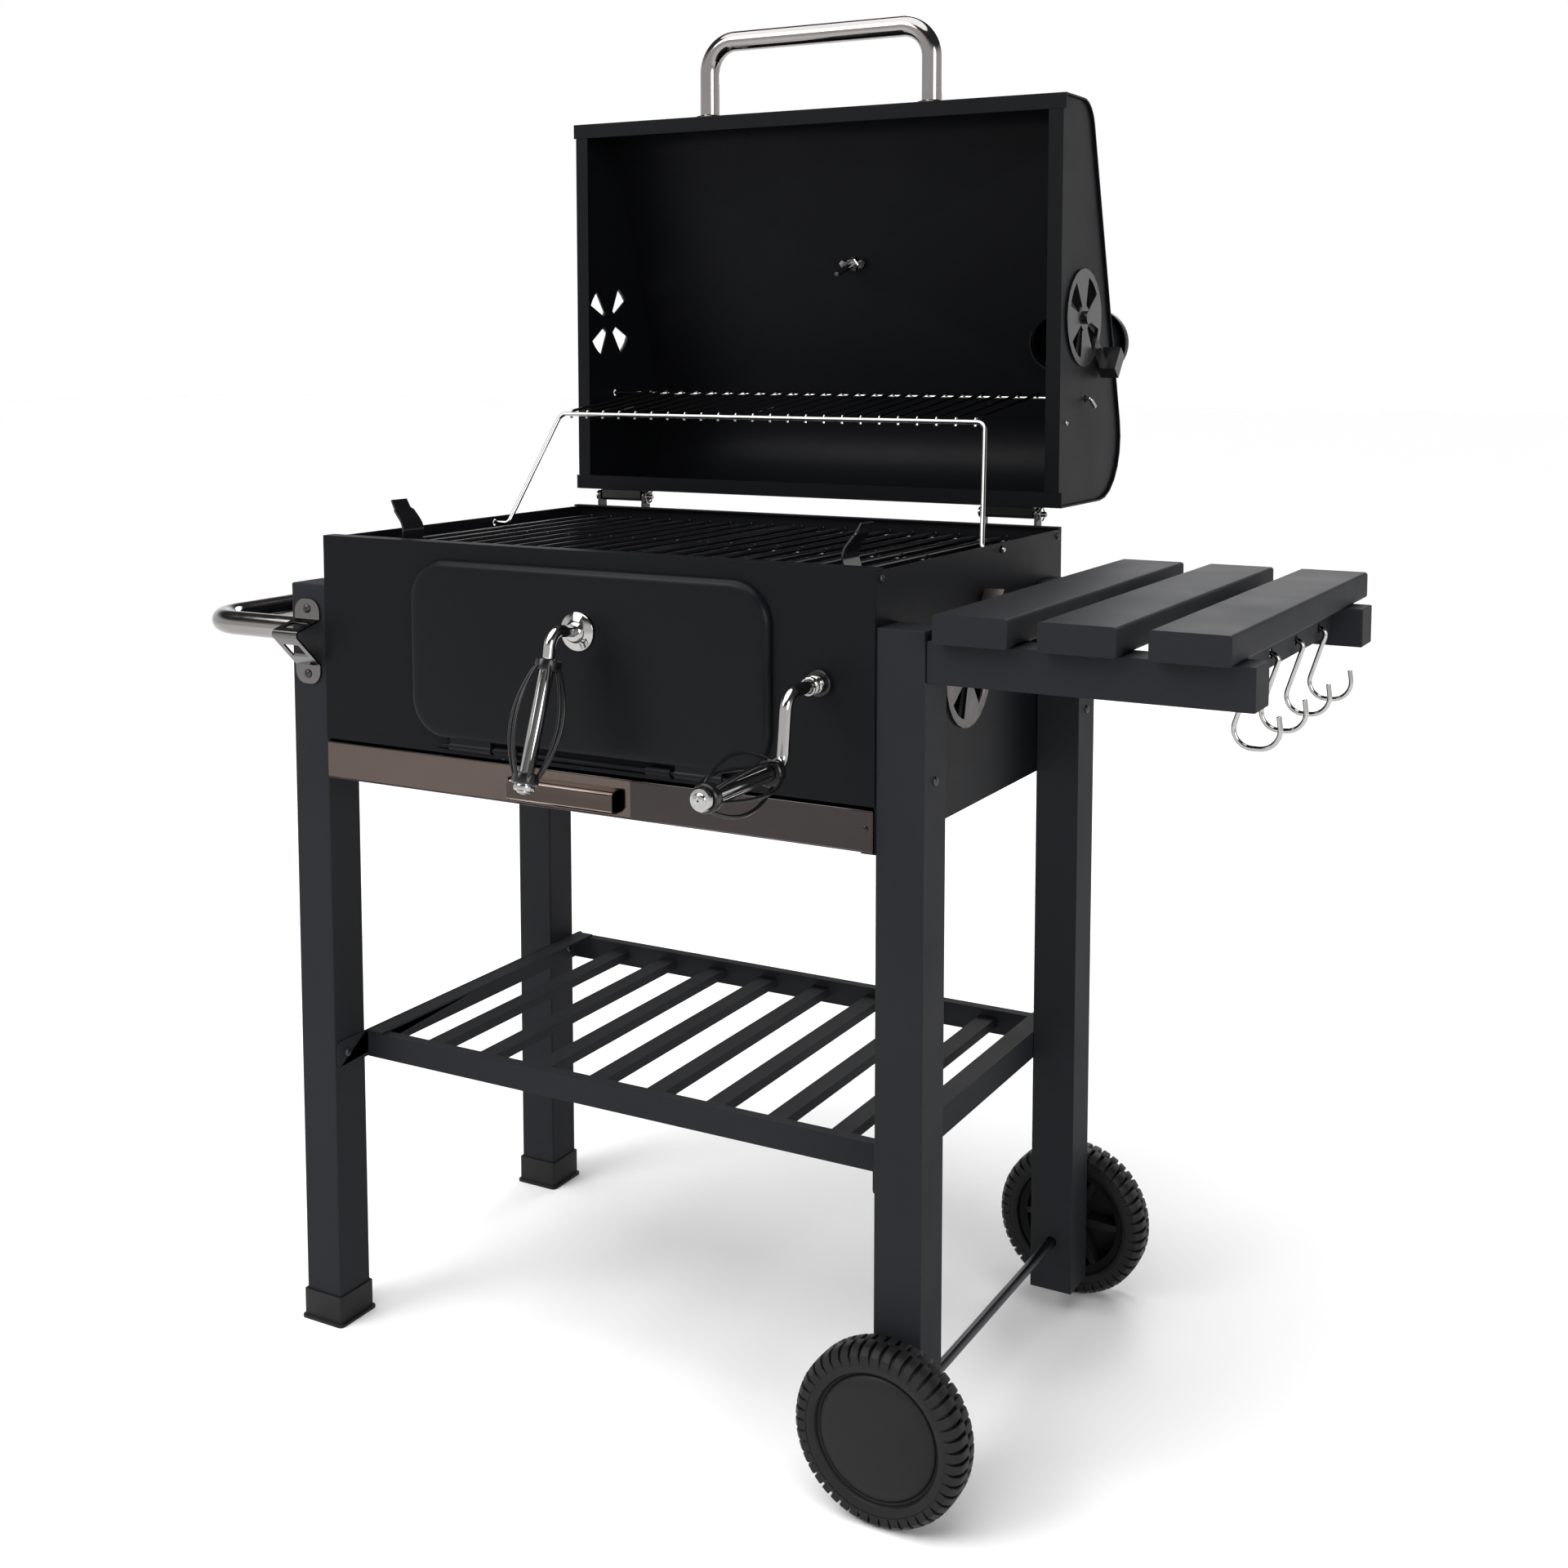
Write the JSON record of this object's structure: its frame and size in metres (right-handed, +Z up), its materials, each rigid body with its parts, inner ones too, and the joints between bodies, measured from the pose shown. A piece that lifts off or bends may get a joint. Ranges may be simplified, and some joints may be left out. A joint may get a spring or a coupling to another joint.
{
  "type": "charcoal grill cart",
  "caption": "Black charcoal grill cart with an open lifting lid, crank-lifted charcoal tray, warming rack, ash drawer, slatted side table and wheels.",
  "frame": {"origin": "on the floor, under the middle of the bounding box", "axes": "+X along the front towards the side table, +Y from the front to the back, +Z up"},
  "size_m": [1.1378, 0.9304, 1.3624],
  "materials": {
    "enamel_black": "satin black heat-resistant paint",
    "frame_anthracite": "matte anthracite powder coat",
    "cast_black": "glossy black enamel",
    "plastic_black": "matte",
    "chrome": "polished",
    "stainless": "polished with fine grain",
    "grate_enamel": "glossy enamel on wire"
  },
  "bodies": {
    "cart": {"leg_front_left": "frame_anthracite", "leg_back_left": "frame_anthracite", "leg_front_right": "frame_anthracite", "leg_back_right": "frame_anthracite", "shelf_rail_left": "frame_anthracite", "shelf_rail_right": "frame_anthracite", "shelf_grid": "frame_anthracite", "door_hinge": "frame_anthracite", "table_beam_front": "frame_anthracite", "table_beam_back": "frame_anthracite", "table_slat_1": "frame_anthracite", "table_slat_2": "frame_anthracite", "table_slat_3": "frame_anthracite", "hook_rail": "frame_anthracite", "axle": "frame_anthracite", "foot_cap_front": "plastic_black", "foot_cap_back": "plastic_black", "side_handle": "chrome", "body_front": "enamel_black", "body_rear": "enamel_black", "body_left": "enamel_black", "body_right": "enamel_black", "crank_bush": "cast_black", "body_hinge_left": "cast_black", "body_hinge_right": "cast_black", "hinge_pin_left": "stainless", "hinge_pin_right": "stainless", "bottle_opener": "stainless"},
    "door": {"coal_door": "enamel_black", "door_handle_rod": "chrome", "door_grip": "cast_black"},
    "ash_drawer": {"ash_drawer_pan": "stainless", "ash_drawer_front": "stainless"},
    "crank": {"crank_rod": "chrome", "crank_grip": "cast_black"},
    "tray": {"charcoal_tray": "frame_anthracite"},
    "grate_left": {"cooking_grate_left": "grate_enamel"},
    "grate_right": {"cooking_grate_right": "grate_enamel"},
    "lid": {"lid_shell": "enamel_black", "lid_panel_left": "enamel_black", "lid_panel_right": "enamel_black", "lid_handle": "chrome", "thermometer": "chrome", "chimney": "enamel_black", "lid_hinge_left": "cast_black", "lid_hinge_right": "cast_black"},
    "needle": {"thermometer_needle": "plastic_black"},
    "chimney_cap": {"chimney_cap": "enamel_black"},
    "rack": {"warming_rack": "chrome"},
    "bail": {"rack_bail": "chrome"},
    "body_damper_left": {"body_damper_left": "stainless"},
    "body_damper_right": {"body_damper_right": "stainless"},
    "lid_damper_left": {"lid_damper_left": "cast_black"},
    "lid_damper_right": {"lid_damper_right": "cast_black"},
    "wheel_front": {"wheel_front": "plastic_black"},
    "wheel_back": {"wheel_back": "plastic_black"},
    "hook_1": {"hook_1": "chrome"},
    "hook_2": {"hook_2": "chrome"},
    "hook_3": {"hook_3": "chrome"},
    "hook_4": {"hook_4": "chrome"}
  },
  "joints": [
    {"name": "lid_hinge", "type": "hinge", "parent": "cart", "child": "lid", "pos_m": [-0.06147, 0.18075, 0.832], "axis": [1, 0, 0], "range_deg": [0, 90]},
    {"name": "bail_swing", "type": "hinge", "parent": "cart", "child": "bail", "pos_m": [-0.06147, 0.00875, 0.812], "axis": [1, 0, 0], "range_deg": [0, 90]},
    {"name": "rack_level", "type": "hinge", "parent": "lid", "child": "rack", "pos_m": [-0.06147, 0.24675, 0.952], "axis": [1, 0, 0], "range_deg": [-90, 0]},
    {"name": "coal_door_hinge", "type": "hinge", "parent": "cart", "child": "door", "pos_m": [-0.05447, -0.27225, 0.626], "axis": [1, 0, 0], "range_deg": [0, 90]},
    {"name": "ash_drawer_slide", "type": "slide", "parent": "cart", "child": "ash_drawer", "axis": [0, 1, 0], "range_m": [-0.3, 0]},
    {"name": "crank_turn", "type": "hinge", "parent": "cart", "child": "crank", "pos_m": [0.19153, -0.26725, 0.72], "axis": [0, 1, 0], "range_deg": [-120, 120]},
    {"name": "tray_lift", "type": "slide", "parent": "cart", "child": "tray", "axis": [0, 0, 1], "range_m": [-0.03, 0.03]},
    {"name": "grate_left_tilt", "type": "hinge", "parent": "cart", "child": "grate_left", "pos_m": [-0.21647, 0.16175, 0.8013], "axis": [1, 0, 0], "range_deg": [-4, 0]},
    {"name": "grate_right_tilt", "type": "hinge", "parent": "cart", "child": "grate_right", "pos_m": [0.09353, 0.16175, 0.8013], "axis": [1, 0, 0], "range_deg": [-4, 0]},
    {"name": "body_damper_left_turn", "type": "hinge", "parent": "cart", "child": "body_damper_left", "pos_m": [-0.36647, -0.07125, 0.704], "axis": [1, 0, 0], "range_deg": [-40, 5]},
    {"name": "lid_damper_left_turn", "type": "hinge", "parent": "lid", "child": "lid_damper_left", "pos_m": [-0.36647, 0.23575, 1.038], "axis": [1, 0, 0], "range_deg": [-40, 5]},
    {"name": "body_damper_right_turn", "type": "hinge", "parent": "cart", "child": "body_damper_right", "pos_m": [0.24353, -0.07125, 0.704], "axis": [1, 0, 0], "range_deg": [-40, 5]},
    {"name": "lid_damper_right_turn", "type": "hinge", "parent": "lid", "child": "lid_damper_right", "pos_m": [0.24353, 0.23575, 1.038], "axis": [1, 0, 0], "range_deg": [-40, 5]},
    {"name": "chimney_cap_turn", "type": "hinge", "parent": "lid", "child": "chimney_cap", "pos_m": [0.17853, 0.43275, 1.012], "axis": [0, 1, 0], "range_deg": [0, 120]},
    {"name": "wheel_front_roll", "type": "hinge", "parent": "cart", "child": "wheel_front", "pos_m": [0.26633, -0.28725, 0.08], "axis": [0, 1, 0], "continuous": true},
    {"name": "wheel_back_roll", "type": "hinge", "parent": "cart", "child": "wheel_back", "pos_m": [0.26633, 0.17275, 0.08], "axis": [0, 1, 0], "continuous": true},
    {"name": "thermometer_needle_turn", "type": "hinge", "parent": "lid", "child": "needle", "pos_m": [-0.06147, 0.29835, 1.104], "axis": [0, 0.9578, 0.2873], "range_deg": [0, 270]},
    {"name": "hook_1_swing", "type": "hinge", "parent": "cart", "child": "hook_1", "pos_m": [0.53553, -0.19225, 0.751], "axis": [1, 0, 0], "range_deg": [-25, 25]},
    {"name": "hook_2_swing", "type": "hinge", "parent": "cart", "child": "hook_2", "pos_m": [0.53553, -0.10825, 0.751], "axis": [1, 0, 0], "range_deg": [-25, 25]},
    {"name": "hook_3_swing", "type": "hinge", "parent": "cart", "child": "hook_3", "pos_m": [0.53553, -0.02425, 0.751], "axis": [1, 0, 0], "range_deg": [-25, 25]},
    {"name": "hook_4_swing", "type": "hinge", "parent": "cart", "child": "hook_4", "pos_m": [0.53553, 0.05975, 0.751], "axis": [1, 0, 0], "range_deg": [-25, 25]}
  ],
  "couplings": [
    {"joint": "bail_swing", "follows": "lid_hinge", "ratio": 1},
    {"joint": "rack_level", "follows": "lid_hinge", "ratio": -1},
    {"joint": "tray_lift", "follows": "crank_turn", "m_per_rad": 0.01431}
  ]
}
